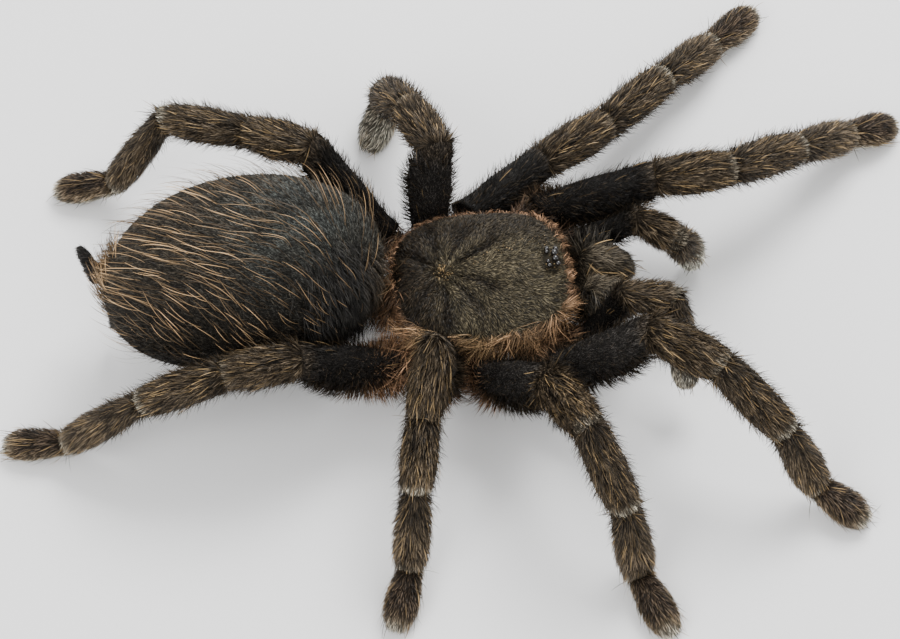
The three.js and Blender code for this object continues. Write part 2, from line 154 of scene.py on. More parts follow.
# Each colour as six hexadecimal digits, and what has it.
COLOURS = {
    "velvet_black": ("252321", "Velvet on the femora"),
    "leg_fur": ("5a4e3e", "Fur on the legs past the femora"),
    "gold": ("86704f", "Long bristles on the legs"),
    "cream": ("b5ae9c", "Pale hairs at the far ends of the articles"),
    "membrane": ("8f8672", "Soft skin in the joints"),
    "foot": ("43382d", "Fur on the back of the feet"),
    "pad": ("dad8c8", "Fur of the foot pads and tips"),
    "shield": ("4e4737", "Velvet on the carapace"),
    # The next colour is painted shade on the carapace's rear, its left side and its grooves.
    "shield_dark": ("2a231a", "Dark parts of the carapace"),
    "rust": ("957458", "Fringe of the carapace and hair round the coxae"),
    # The next colour is painted shade on the abdomen low down and on its right flank; the waist hair takes a
    # darker copy of it.
    "abdomen": ("2e2c29", "Dark velvet low on the abdomen"),
    "abdomen_brown": ("3a342b", "Brown velvet on the abdomen"),
    # The next colour is a painted sheen: the cool grey painted on the abdomen's top towards its front.
    "fuzz": ("4f5350", "Cool grey velvet on the abdomen"),
    "amber": ("9a7f5e", "Long bristles on the abdomen"),
    "jaw": ("564e41", "Coarse hairs on the jaws"),
    "horn": ("0c0908", "Fangs, claws and eyes"),
    "skin": ("14100d", "Bare skin between the hairs"),
}


def titled(name):
    return name.replace("_", " ").title()


def length_setting(name, millimetres, description):
    look = {"min": 0, "subtype": "DISTANCE", "unit": "LENGTH"}
    return FloatProperty(name=titled(name), description=description, default=millimetres * MM, **look)


def colour_setting(name, code, description):
    look = {"size": 3, "min": 0, "max": 1, "subtype": "COLOR"}
    return FloatVectorProperty(name=titled(name), description=description, default=linear(code), **look)


class TarantulaFur(bpy.types.PropertyGroup):
    """Sizes of the fur and the bristles."""

    __annotations__ = {name: length_setting(name, *row) for name, row in LENGTHS.items()}
    thickness: FloatProperty(name="Thickness", description="Density of the fur", default=1, min=0.1, max=2)
    seed: IntProperty(name="Seed", description="Seed of the fur's random numbers", default=11, min=0)


class TarantulaColours(bpy.types.PropertyGroup):
    """Colours of the specimen."""

    __annotations__ = {name: colour_setting(name, *row) for name, row in COLOURS.items()}


def angle_setting(name, description, degrees):
    return FloatProperty(name=name, description=description, default=math.radians(degrees), subtype="ANGLE")


class TarantulaStage(bpy.types.PropertyGroup):
    """Camera and light."""

    elevation: angle_setting("Elevation", "Height of the camera above the horizon", 60)
    turn: angle_setting("Turn", "Turn of the camera round the specimen", -5.3)
    distance: length_setting("distance", 620, "From the camera to the point it aims at")
    lens: FloatProperty(name="Lens", description="Focal length in millimetres", default=181, min=10)
    key_power: FloatProperty(name="Key Power", description="Main soft light in watts", default=6.0, min=0)
    sky: FloatProperty(name="Sky", description="Strength of the even light", default=1.08, min=0)


def settings():
    """The fur's sizes, the colours as arrays, and the stage."""
    scene = bpy.context.scene
    colours = {name: np.array(getattr(scene.tarantula_colours, name)) for name in COLOURS}
    return scene.tarantula_fur, SimpleNamespace(**colours), scene.tarantula_stage


# ------------------------------------------------------------------ node trees


class Socket:
    """A node's output. Arithmetic on it adds Math or Vector Math nodes."""

    def __init__(self, graph, socket):
        self.graph = graph
        self.socket = socket

    def other(self, name):
        return Socket(self.graph, self.socket.node.outputs[name])

    def combine(self, operation, first, second):
        vector = any(isinstance(x, Socket) and x.socket.type in {"VECTOR", "RGBA"} for x in (first, second))
        kind = "ShaderNodeVectorMath" if vector else "ShaderNodeMath"
        return self.graph.node(kind, {0: first, 1: second}, operation=operation)


OPERATIONS = {"add": "ADD", "sub": "SUBTRACT", "mul": "MULTIPLY", "truediv": "DIVIDE", "pow": "POWER"}


def arithmetic(operation, swapped):
    """A method that adds the node of one operation."""
    return lambda self, other: self.combine(operation, *((other, self) if swapped else (self, other)))


for method, operation in OPERATIONS.items():
    setattr(Socket, f"__{method}__", arithmetic(operation, False))
    setattr(Socket, f"__r{method}__", arithmetic(operation, True))


class Graph:
    """A node tree that grows from expressions."""

    def __init__(self, tree):
        self.tree = tree

    def feed(self, target, value):
        if isinstance(value, Socket):
            self.tree.links.new(value.socket, target)
        elif hasattr(target.default_value, "__len__") and not isinstance(value, str):
            size = len(target.default_value)
            listed = list(value) if hasattr(value, "__len__") else [value] * size
            target.default_value = (listed + [1.0])[:size]
        else:
            target.default_value = value

    def node(self, kind, sockets=None, output=None, **options):
        made = self.tree.nodes.new(kind)
        for name, value in options.items():
            setattr(made, name, value)
        for key, value in (sockets or {}).items():
            self.feed(made.inputs[key], value)
        shown = [socket for socket in made.outputs if socket.enabled] or [None]
        return Socket(self, made.outputs[output] if output else shown[0])

    def maths(self, operation, first):
        return self.node("ShaderNodeMath", {0: first}, operation=operation)

    def vector(self, operation, first, second=None):
        sockets = {0: first} if second is None else {0: first, 1: second}
        return self.node("ShaderNodeVectorMath", sockets, operation=operation)

    def named(self, name, kind):
        return self.node("GeometryNodeInputNamedAttribute", {"Name": name}, data_type=kind)

    def uniform(self, low, high, seed):
        return self.node("FunctionNodeRandomValue", {2: low, 3: high, "Seed": seed}, data_type="FLOAT")

    def store(self, geometry, name, value, domain="POINT"):
        sockets = {"Geometry": geometry, "Name": name, "Value": value}
        return self.node("GeometryNodeStoreNamedAttribute", sockets, data_type="FLOAT", domain=domain)

    def noise(self, vector, scale, detail=2.0):
        return self.node("ShaderNodeTexNoise", {"Vector": vector, "Scale": scale, "Detail": detail})


# The inputs of the hair tree: name, kind and default.
HAIR_INPUTS = {
    "density": ("Density", "NodeSocketFloat", 1e7),
    "length": ("Length", "NodeSocketFloat", 1.5 * MM),
    "width": ("Width", "NodeSocketFloat", 0.08 * MM),
    "lift": ("Lift", "NodeSocketFloat", 0.25),
    "spread": ("Lift Spread", "NodeSocketFloat", 0.12),
    "sway": ("Sway", "NodeSocketFloat", 0.3),
    "lock": ("Lock Lean", "NodeSocketFloat", 0.5),
    "lock_size": ("Lock Size", "NodeSocketFloat", 1.2 * MM),
    "roll": ("Roll", "NodeSocketFloat", 1.2),
    "curl": ("Curl", "NodeSocketFloat", 0.08),
    "wave": ("Wave", "NodeSocketFloat", 0.0),
    "segments": ("Segments", "NodeSocketInt", 1),
    "seed": ("Seed", "NodeSocketInt", 0),
    "material": ("Material", "NodeSocketMaterial", None),
}


def unit_hair(graph, given):
    """One hair of unit length along Z, tapered to a point and bent towards Y."""
    rows = given["segments"] + 1
    sides = {"Size X": 1.0, "Size Y": 1.0, "Vertices X": 2, "Vertices Y": rows}
    grid = graph.node("GeometryNodeMeshGrid", sides)
    place = graph.node("ShaderNodeSeparateXYZ", {0: graph.node("GeometryNodeInputPosition")})
    along = place.other("Y") + 0.5
    grid = graph.store(grid, "along", along)
    arc = along * (1.0 - along) * 4.0 * given["curl"]
    wave = graph.maths("SINE", along * math.tau) * given["wave"]
    half_width = place.other("X") * (1.0 - along**3.0)
    shape = graph.node("ShaderNodeCombineXYZ", {0: half_width, 1: arc + wave, 2: along})
    hair = graph.node("GeometryNodeSetPosition", {"Geometry": grid, "Position": shape})
    return graph.node("GeometryNodeMergeByDistance", {"Geometry": hair, "Distance": 0.001})


def hair_tree():
    """Geometry Nodes that grow tapered, bent hairs over a surface along its comb direction."""
    tree = bpy.data.node_groups.new("Hairs", "GeometryNodeTree")
    tree.interface.new_socket("Geometry", in_out="INPUT", socket_type="NodeSocketGeometry")
    for name, kind, default in HAIR_INPUTS.values():
        made = tree.interface.new_socket(name, in_out="INPUT", socket_type=kind)
        if default is not None:
            made.default_value = default
    tree.interface.new_socket("Geometry", in_out="OUTPUT", socket_type="NodeSocketGeometry")
    graph = Graph(tree)
    skin = graph.node("NodeGroupInput")
    given = {key: skin.other(name) for key, (name, _, _) in HAIR_INPUTS.items()}
    seed = given["seed"]
    hair = unit_hair(graph, given)

    density = given["density"] * graph.named("cover", "FLOAT")
    sown = {"Mesh": skin, "Density": density, "Seed": seed}
    points = graph.node("GeometryNodeDistributePointsOnFaces", sown)
    normal = points.other("Normal")

    # Neighbouring hairs lean the same way, which gathers them into locks.
    frequency = 1.0 / given["lock_size"]
    drift = graph.noise(graph.node("GeometryNodeInputPosition"), frequency, 1.0).other("Color")
    drift = graph.node("ShaderNodeSeparateXYZ", {0: drift})
    comb = graph.named("comb", "FLOAT_VECTOR")
    upright = graph.vector("DOT_PRODUCT", comb, normal).other("Value")
    flat = graph.vector("NORMALIZE", comb - normal * upright)
    across = graph.vector("CROSS_PRODUCT", normal, flat)
    sway = graph.uniform(-1.0, 1.0, seed + 1) * given["sway"]
    sway = sway + (drift.other("X") - 0.5) * given["lock"] * 3.0
    heading = graph.vector("NORMALIZE", flat + across * sway)
    lift = given["lift"] * graph.named("rise", "FLOAT")
    lift = lift + graph.uniform(-1.0, 1.0, seed + 2) * given["spread"]
    lift = lift + (drift.other("Y") - 0.5) * given["lock"] * given["spread"] * 4.0
    cosine, sine = graph.maths("COSINE", lift), graph.maths("SINE", lift)
    broad = graph.vector("CROSS_PRODUCT", normal, heading)
    broad = graph.vector("NORMALIZE", broad + normal * graph.uniform(-1.0, 1.0, seed + 3) * given["roll"])
    axes = {"Primary Axis": heading * cosine + normal * sine, "Secondary Axis": broad}
    turn = graph.node("FunctionNodeAxesToRotation", axes, primary_axis="Z", secondary_axis="X")
    size = given["length"] * graph.named("reach", "FLOAT") * graph.uniform(0.6, 1.2, seed + 4)
    scale = graph.node("ShaderNodeCombineXYZ", {0: given["width"], 1: size, 2: size})
    sown = {"Points": points, "Instance": hair, "Rotation": turn, "Scale": scale}
    hairs = graph.node("GeometryNodeInstanceOnPoints", sown)
    hairs = graph.store(hairs, "shade", graph.uniform(0.0, 1.0, seed + 5), domain="INSTANCE")
    hairs = graph.node("GeometryNodeRealizeInstances", {"Geometry": hairs})
    hairs = graph.node("GeometryNodeSetMaterial", {"Geometry": hairs, "Material": given["material"]})
    result = tree.nodes.new("NodeGroupOutput")
    tree.links.new(hairs.socket, result.inputs[0])
    return tree


# ------------------------------------------------------------------ materials


def new_material(name):
    material = bpy.data.materials.new(name)
    material.use_nodes = True
    material.node_tree.nodes.clear()
    return material, Graph(material.node_tree)


def principled(graph, sockets):
    """Ends a material's tree with one shader."""
    shader = graph.node("ShaderNodeBsdfPrincipled", sockets)
    graph.node("ShaderNodeOutputMaterial", {"Surface": shader})


def attribute(graph, name, output="Color"):
    return graph.node("ShaderNodeAttribute", attribute_name=name, output=output)


def fur_material():
    """Hairs in the colour of the skin under them, darker at the root and each a little different."""
    material, graph = new_material("fur")
    tone = attribute(graph, "tone")
    shade, along = (attribute(graph, name, "Fac") for name in ("shade", "along"))
    colour = tone * (0.26 + shade**2.6 * 2.7) * (0.4 + along * 0.8)
    principled(graph, {"Base Color": colour, "Roughness": 0.45, "Specular IOR Level": 0.16})
    return material


def bumped(graph, height, strength, distance):
    return graph.node("ShaderNodeBump", {"Strength": strength, "Distance": distance * MM, "Height": height})


def skin_material():
    """Leathery skin under the fur, tinted like it."""
    material, graph = new_material("skin")
    tone = attribute(graph, "tone")
    place = graph.node("ShaderNodeTexCoord", output="Object")
    grain, mottle = graph.noise(place, 3200.0, 3.0), graph.noise(place, 700.0, 3.0)
    look = {"Base Color": tone * (0.15 + mottle * 0.5), "Normal": bumped(graph, grain, 0.6, 0.08)}
    principled(graph, {**look, "Roughness": 0.5 + grain * 0.4, "Specular IOR Level": 0.12})
    return material


def horn_material(name, colour, roughness):
    """Polished horn with a faint grain."""
    material, graph = new_material(name)
    grain = graph.noise(graph.node("ShaderNodeTexCoord", output="Object"), 1500.0, 2.0)
    base = graph.node("ShaderNodeMix", {0: grain, 6: colour, 7: [c * 2.4 for c in colour]}, data_type="RGBA")
    look = {"Base Color": base, "Normal": bumped(graph, grain, 0.2, 0.03)}
    principled(graph, {**look, "Roughness": roughness + grain * 0.1, "Coat Weight": 0.6})
    return material


MATERIALS = {}


def material_of(kind):
    """The material of that kind, made the first time that it is asked for."""
    if kind not in MATERIALS:
        colours = settings()[1]
        makers = {
            "fur": fur_material,
            "skin": skin_material,
            "horn": lambda: horn_material("horn", list(colours.horn), 0.18),
            "eye": lambda: horn_material("eye", list(colours.horn), 0.05),
        }
        MATERIALS[kind] = makers[kind]()
    return MATERIALS[kind]


# ------------------------------------------------------------------ surfaces as arrays


def unit(vector):
    return vector / np.linalg.norm(vector)


def units(vectors):
    return vectors / np.maximum(np.linalg.norm(vectors, axis=1, keepdims=True), 1e-12)


def ramp(value, low, high):
    """A smooth rise from 0 at the low value to 1 at the high one."""
    share = np.clip((value - low) / (high - low), 0, 1)
    return share * share * (3 - 2 * share)


def blended(first, second, share):
    """Colours or directions between two, one for each share."""
    share = np.asarray(share)[..., None]
    return np.asarray(first) * (1 - share) + np.asarray(second) * share


def ripple(points, size, seed=0.0):
    """A smooth value from 0 to 1 that varies over the points in patches of about that size."""
    total = np.zeros(len(points))
    for i, heading in enumerate(RIPPLES):
        total += np.sin(points @ np.array(heading) * (2.2 + 0.5 * i) / size + seed + 1.7 * i)
    return np.clip(0.5 + total / len(RIPPLES), 0, 1)


def mottled(tone, points, size, low, range_, seed=0.0):
    """Colours that vary in patches, from the low share of their light up."""
    return tone * (low + range_ * ripple(points, size, seed))[:, None]


class Surface:
    """Points, faces and normals of a skin."""

    def __init__(self, points, faces):
        self.points = points
        self.faces = faces
        self.normals = self.point_normals()

    def point_normals(self):
        normals = np.zeros_like(self.points)
        for face in self.faces:
            corner = self.points[list(face)]
            turned = np.cross(corner[1] - corner[0], corner[2] - corner[0])
            if len(face) > 3:
                turned = turned + np.cross(corner[2] - corner[0], corner[3] - corner[0])
            normals[list(face)] += turned
        return units(normals)

    def sunk(self, depth, axis=None):
        """The skin moved in by a depth, and not along the axis if there is one."""
        outward = self.normals if axis is None else self.normals - np.outer(self.normals @ axis, axis)
        points = self.points - outward * depth
        points[:, 2] = np.maximum(points[:, 2], GROUND_CLEARANCE)
        return Surface(points, self.faces)


def merged(surfaces, values):
    """Several surfaces as one, with their point values stacked."""
    points = np.concatenate([surface.points for surface in surfaces])
    faces, start = [], 0
    for surface in surfaces:
        faces += [tuple(i + start for i in face) for face in surface.faces]
        start += len(surface.points)
    return points, faces, {key: np.concatenate([value[key] for value in values]) for key in values[0]}


def mesh_of(name, points, faces, values):
    mesh = bpy.data.meshes.new(name)
    mesh.from_pydata(points.tolist(), [], faces)
    for key, value in values.items():
        if key == "tone":
            layer = mesh.attributes.new(key, "FLOAT_COLOR", "POINT")
            layer.data.foreach_set("color", np.column_stack([value, np.ones(len(value))]).ravel())
        elif value.ndim == 2:
            layer = mesh.attributes.new(key, "FLOAT_VECTOR", "POINT")
            layer.data.foreach_set("vector", value.ravel())
        else:
            layer = mesh.attributes.new(key, "FLOAT", "POINT")
            layer.data.foreach_set("value", value)
    mesh.polygons.foreach_set("use_smooth", [True] * len(mesh.polygons))
    mesh.update()
    return mesh


def linked(name, mesh):
    obj = bpy.data.objects.new(name, mesh)
    bpy.context.scene.collection.objects.link(obj)
    return obj


def point_array(mesh):
    points = np.zeros(len(mesh.vertices) * 3)
    mesh.vertices.foreach_get("co", points)
    return points.reshape(-1, 3)


def evaluated_mesh(obj):
    graph = bpy.context.evaluated_depsgraph_get()
    final = obj.evaluated_get(graph)
    return bpy.data.meshes.new_from_object(final, preserve_all_data_layers=True, depsgraph=graph)


def rounded(node, levels, crease=0.0):
    """A solid's mesh as a closed, subdivided Surface. Its sharp edges can keep a part of their sharpness."""
    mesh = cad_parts[node].data.copy()
    shell = bmesh.new()
    shell.from_mesh(mesh)
    bmesh.ops.remove_doubles(shell, verts=shell.verts, dist=MERGE_DISTANCE)
    bmesh.ops.dissolve_limit(shell, angle_limit=FLAT_ANGLE, verts=shell.verts, edges=shell.edges)
    bmesh.ops.triangulate(shell, faces=[face for face in shell.faces if len(face.verts) > MANY_SIDES])
    bmesh.ops.join_triangles(
        shell,
        faces=[face for face in shell.faces if len(face.verts) == 3],
        angle_face_threshold=0.7, angle_shape_threshold=3.1,
    )
    sharpness = shell.edges.layers.float.new("crease_edge")
    for edge in shell.edges:
        if len(edge.link_faces) == 2 and edge.calc_face_angle() > SHARP_ANGLE:
            edge[sharpness] = crease
    clean = bpy.data.meshes.new(node)
    shell.to_mesh(clean)
    shell.free()
    bpy.data.meshes.remove(mesh)
    obj = linked("rounding", clean)
    softening = obj.modifiers.new("Subdivision", "SUBSURF")
    softening.levels = levels
    softening.render_levels = levels
    result = evaluated_mesh(obj)
    surface = Surface(point_array(result), [tuple(polygon.vertices) for polygon in result.polygons])
    bpy.data.objects.remove(obj)
    for used in (clean, result):
        bpy.data.meshes.remove(used)
    return surface


def place(obj, slot, *replaced):
    """Fixes a finished piece to the specimen."""
    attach(obj, ROOT)
    if replaced:
        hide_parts(*replaced)
    return obj


def skin_piece(name, surface, tone, slot, *replaced, kind="skin"):
    """A surface as a finished piece, in one colour or one for each point."""
    tone = np.broadcast_to(tone, surface.points.shape)
    mesh = mesh_of(f"{name}_skin", surface.points, surface.faces, {"tone": tone})
    mesh.materials.append(material_of(kind))
    return place(linked(f"{name}_skin", mesh), slot, *replaced)


# ------------------------------------------------------------------ hairs

TREE = []


def coat(name, surfaces, values, **sizes):
    """Grows one coat of hairs over the surfaces and returns it as an object."""
    fur = settings()[0]
    if not TREE:
        TREE.append(hair_tree())
    skin = linked(name, mesh_of(name, *merged(surfaces, values)))
    growth = skin.modifiers.new("Hairs", "NODES")
    growth.node_group = TREE[0]
    sockets = {item.name: item.identifier for item in TREE[0].interface.items_tree if item.in_out == "INPUT"}
    given = {"material": material_of("fur"), "seed": fur.seed + sum(ord(letter) for letter in name), **sizes}
    given["density"] = given["density"] * PER_MM2 * fur.thickness
    for key, (label, _, default) in HAIR_INPUTS.items():
        growth[sockets[label]] = given.get(key, default)
    result = evaluated_mesh(skin)
    skin_mesh = skin.data
    bpy.data.objects.remove(skin)
    bpy.data.meshes.remove(skin_mesh)
    result.name = name
    kept_in_box(result)
    for attribute in [layer.name for layer in result.attributes]:
        if attribute in SKIN_VALUES:
            result.attributes.remove(result.attributes[attribute])
    return linked(name, result)


def hair_on(name, surface, comb, tone, cover=1.0, reach=1.0, rise=1.0, **sizes):
    """One coat of hairs on one surface."""
    return coat(name, [surface], [hair_values(surface, comb, tone, cover, reach, rise)], **sizes)


def kept_in_box(mesh):
    """Presses the hairs that would reach under the ground or too far over the specimen's back."""
    points = point_array(mesh)
    points[:, 2] = np.maximum(points[:, 2], GROUND_CLEARANCE)
    over = points[:, 2] > CEILING
    points[over, 2] = CEILING + HEADROOM * (1 - np.exp((CEILING - points[over, 2]) / HEADROOM))
    mesh.vertices.foreach_set("co", points.ravel())
    mesh.update()


def joined(name, parts):
    """Several objects made into the first one."""
    with bpy.context.temp_override(
        active_object=parts[0], object=parts[0], selected_objects=parts, selected_editable_objects=parts
    ):
        bpy.ops.object.join()
    parts[0].name = name
    parts[0].data.name = name
    return parts[0]


def hair_values(surface, comb, tone, cover=1.0, reach=1.0, rise=1.0):
    """The point values that a coat reads, with plain numbers spread over the surface."""
    count = len(surface.points)
    values = {"comb": comb, "tone": tone, "cover": cover, "reach": reach, "rise": rise}
    shapes = {"comb": (count, 3), "tone": (count, 3)}
    return {
        key: np.broadcast_to(np.asarray(value, float), shapes.get(key, (count,))).copy()
        for key, value in values.items()
    }


# ------------------------------------------------------------------ limbs


def joint_between(first, second):
    """The middle and the radius of the joint between two solids, from their corners that nearly meet."""
    a, b = (point_array(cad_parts[node].data) for node in (first, second))
    apart = np.linalg.norm(a[:, None] - b[None], axis=2)
    reach = apart.min() + JOINT_REACH
    near = np.concatenate([a[apart.min(1) < reach], b[apart.min(0) < reach]])
    centre = (near.min(0) + near.max(0)) / 2
    return centre, np.linalg.norm(near - centre, axis=1).mean()


class Article:
    """One article of a limb: its skin, its axis and where each of its points lies."""

    def __init__(self, node, kind, start, end, back):
        self.node = node
        self.kind = kind
        self.start = start
        self.length = np.linalg.norm(end - start)
        self.axis = (end - start) / self.length
        self.back = unit(back - self.axis * (back @ self.axis))
        self.side = np.cross(self.axis, self.back)
        self.surface = rounded(node, 2, END_CREASE).sunk(INSETS[kind] * MM, self.axis)
        offset = self.surface.points - start
        self.along = np.clip(offset @ self.axis / self.length, 0, 1)
        radial = units(offset - np.outer(offset @ self.axis, self.axis))
        self.dorsal = radial @ self.back
        self.lateral = radial @ self.side


def limb_articles(limb, kinds):
    """The articles of a limb from the hip to the tip, and the joints between them."""
    nodes = [f"{limb}_{kind}" for kind in kinds]
    joints = [joint_between(a, b) for a, b in zip([COXAE, *nodes], nodes)]
    last = point_array(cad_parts[nodes[-1]].data)
    far = np.linalg.norm(last - joints[-1][0], axis=1)
    places = [centre for centre, _ in joints] + [last[far > TIP_SHARE * far.max()].mean(0)]
    back = np.array([0.0, 0.0, 1.0])
    articles = []
    for node, kind, start, end in zip(nodes, kinds, places, places[1:]):
        if articles:
            turn = Vector(articles[-1].axis).rotation_difference(Vector(end - start))
            back = np.array(turn @ Vector(articles[-1].back))
        articles.append(Article(node, kind, start, end, back))
    return articles, joints


def article_tone(limb, article, colours):
    """The colour of the coat over one article."""
    along, dorsal = article.along, article.dorsal
    patches = 0.75 + 0.5 * ripple(article.surface.points, 2.4 * MM, len(limb))
    if article.kind == "femur":
        sheen = VELVET_SHEEN.get(limb, 0.85)
        tone = blended(colours.velvet_black * sheen, colours.leg_fur, ramp(along, 0.88, 1.0) * 0.5)
        return tone * patches[:, None]
    pale = ramp(along, 0.8, 1.0) * 0.5
    if limb in PALPS or limb == "left_leg_3":
        pale = ramp(along, 0.0, 0.5) * (1.0 if limb == "left_palp" else 0.35)
    if article.kind == "tarsus":
        middle = ramp(dorsal, 0.1, 0.8) * (1 - ramp(along, 0.65, 0.95))
        tone = blended(colours.leg_fur * 2.1, colours.foot, middle)
        under = ramp(-dorsal, -0.1, 0.6)
        return blended(tone * patches[:, None], colours.pad, np.maximum(under * 0.5, pale))
    # Painted shade: each article is painted darker towards its root end, where it comes out of the joint.
    root = 0.85 if article.kind == "patella" else 0.5
    tone = colours.leg_fur * (patches * (root + (1 - root) * ramp(along, 0.0, 0.4)))[:, None]
    tone = tone * (0.72 + 0.38 * np.abs(article.lateral))[:, None]
    ring = ramp(along, 0.88, 0.97)
    tone = blended(tone, colours.cream, ring * (0.25 if article.kind == "patella" else 0.85))
    if limb in PALPS and article.kind == "tibia":
        tone = blended(tone, colours.pad, ramp(along, 0.3, 0.9) * (0.8 if limb == "left_palp" else 0.3))
    return tone


def bare_stripes(article):
    """How far each point is in the two bare lengthwise stripes on the back of a patella or tibia."""
    if article.kind not in ("patella", "tibia"):
        return np.zeros(len(article.along))
    stripe = np.exp(-(((np.abs(article.lateral) - 0.4) / 0.16) ** 2)) * ramp(article.dorsal, 0.2, 0.6)
    return stripe * ramp(article.along, 0.04, 0.15) * (1 - ramp(article.along, 0.6, 0.85))


def disc(centre, axis, radius, thickness):
    """A round cushion across an axis as a Surface."""
    shell = bmesh.new()
    turn = Vector((0, 0, 1)).rotation_difference(Vector(axis)).to_matrix().to_4x4()
    matrix = Matrix.Translation(Vector(centre)) @ turn @ Matrix.Diagonal((radius, radius, thickness, 1))
    bmesh.ops.create_uvsphere(shell, u_segments=20, v_segments=8, radius=1, matrix=matrix)
    points = np.array([vertex.co[:] for vertex in shell.verts])
    shell.verts.index_update()
    faces = [tuple(vertex.index for vertex in face.verts) for face in shell.faces]
    shell.free()
    points[:, 2] = np.maximum(points[:, 2], GROUND_CLEARANCE)
    return Surface(points, faces)


def joint_skins(limb, articles, joints, colours):
    """The pale soft skin that shows in a limb's joints."""
    discs, tones = [], []
    for before, article, (centre, radius) in zip(articles, articles[1:], joints[1:]):
        discs.append(disc(centre, unit(before.axis + article.axis), radius - JOINT_INSET, JOINT_THICKNESS))
        tone = colours.leg_fur * 0.4 if article.kind == "patella" else colours.membrane
        tones.append({"tone": np.tile(tone, (len(discs[-1].points), 1))})
    points, faces, values = merged(discs, tones)
    skin_piece(f"{limb}_joints", Surface(points, faces), values["tone"], "olive_fur")


def limb_fur(limb, kinds):
    """Dresses one limb with skins, joint skins, a combed coat and standing bristles. Returns its articles."""
    fur, colours, _ = settings()
    articles, joints = limb_articles(limb, kinds)
    joint_skins(limb, articles, joints, colours)
    surfaces = [article.surface for article in articles]
    coats = defaultdict(list)
    for article in articles:
        tone = article_tone(limb, article, colours)
        surface, along, dorsal, axis = article.surface, article.along, article.dorsal, article.axis
        stripes = bare_stripes(article)
        under_tone = blended(tone, colours.skin, 0.5 + 0.5 * stripes)
        skin_piece(article.node, surface, under_tone, SLOTS[article.kind], article.node)
        femur, foot = article.kind == "femur", article.kind == "tarsus"
        ends = ramp(along, 0.86, 1.0)
        under = ramp(-dorsal, -0.1, 0.6)
        pile = ramp(along, 0.8, 0.95) if femur else 1 - 0.97 * stripes
        reach = 1 - 0.55 * ends
        rise = 1 + 1.2 * ends
        comb = axis
        if foot or article.kind == "metatarsus":
            comb = axis + np.outer(article.lateral, article.side) * 0.5
            rise = rise + 0.9 * np.abs(article.lateral) * np.sin(math.pi * along)
        if foot:
            reach, rise = (0.45, 0.7) if limb in PALPS else (0.65 - 0.2 * under, rise)
            if limb == "left_leg_3":
                reach, rise = 0.9, 1.7
        coats["pile"].append(hair_values(surface, comb, tone, pile, reach, rise))
        coats["velvet"].append(hair_values(surface, axis, tone * 1.2, 1.0 if femur else 0.0))
        keel = ramp(-dorsal, -0.3, 0.7)
        fringe = (0.2 + keel) * (1 - ramp(along, 0.9, 1.0)) if femur else 0.0
        rusty = 1.0 if limb in RUSTY_HIPS else 0.1
        hip_end = 0.6 if limb == "right_leg_4" else 0.3
        hip = (1 - ramp(along, 0.04, hip_end)) * (1.0 if femur else 0.0)
        hip = hip * (0.2 if limb in BARE_HIPS else 1.0)
        rust = mottled(colours.rust, surface.points, 1.0 * MM, 0.3, 0.9, 4.0)
        fringe_tone = blended(colours.leg_fur * 0.35, rust, hip * rusty)
        reach_out = np.maximum(0.4 + 0.6 * keel, (0.6 + 0.6 * rusty) * hip)
        upright = blended(axis, np.array([0, 0, 1.0]) - 0.5 * axis, hip)
        fringe = np.maximum(fringe, 1.8 * hip)
        coats["fringe"].append(hair_values(surface, upright, fringe_tone, fringe, reach_out, 1 + 0.6 * hip))
        gold = 0.05 if femur else (0.5 if foot else 1.0)
        gold = gold * (1 - 0.8 * ends) * (1 - 0.5 * under)
        gold_tone = blended(colours.gold * 0.5, colours.gold, ripple(surface.points, 1.1 * MM, 2.0))
        coats["gold"].append(hair_values(surface, comb, gold_tone, gold))
        stray = 0.03 if foot else (1 - ramp(along, 0.1, 0.6) if article.kind == "metatarsus" else 1.0)
        stray = stray * (0.35 + 0.65 * np.abs(article.lateral)) * (1 - 0.5 * ends) * (0.4 if femur else 1)
        coats["stray"].append(hair_values(surface, axis, colours.leg_fur * 0.35, stray))
    small = 0.8 if limb in PALPS else 1.0
    full = 1.9 if limb in PALPS else 1.0
    small, full = (0.8, 1.9) if limb in PALPS else (1.0, 1.0)
    fine = fur.hair_width * 0.75
    sizes = {
        "pile": dict(density=22, segments=2, length=fur.leg_hair * small * full**0.5, lift=0.24 * full,
                     spread=0.14, sway=0.25, lock=0.45, lock_size=1.0 * MM, width=fur.hair_width * 0.9),
        "velvet": dict(density=38, length=fur.velvet, lift=0.3, spread=0.12, sway=0.25, width=fine),
        "fringe": dict(density=7, length=fur.leg_fringe * small, lift=0.75, spread=0.25, sway=0.4, curl=0.12,
                       segments=2, width=fine),
        "gold": dict(density=1.6, length=fur.leg_bristle * small, lift=0.22, spread=0.12, sway=0.25, lock=0.3,
                     curl=0.07, segments=4, width=fur.hair_width * 0.8),
        "stray": dict(density=7, length=fur.leg_stray * small, lift=0.8, spread=0.3, sway=0.4, curl=0.1,
                      segments=2, width=fine),
    }
    for piece, names in (("fur", ("pile", "velvet", "fringe")), ("bristles", ("gold", "stray"))):
        parts = [coat(f"{limb}_{name}", surfaces, coats[name], **sizes[name]) for name in names]
        place(joined(f"{limb}_{piece}", parts), "olive_fur")
    return articles


def tube(rings):
    """A closed skin over rings with the same number of points."""
    sides = len(rings[0])
    points = np.concatenate(rings)
    faces = [tuple(reversed(range(sides))), tuple(range(len(points) - sides, len(points)))]
    for i in range(len(rings) - 1):
        for k in range(sides):
            a, b = i * sides + k, i * sides + (k + 1) % sides
            faces.append((a, b, b + sides, a + sides))
    return Surface(points, faces)


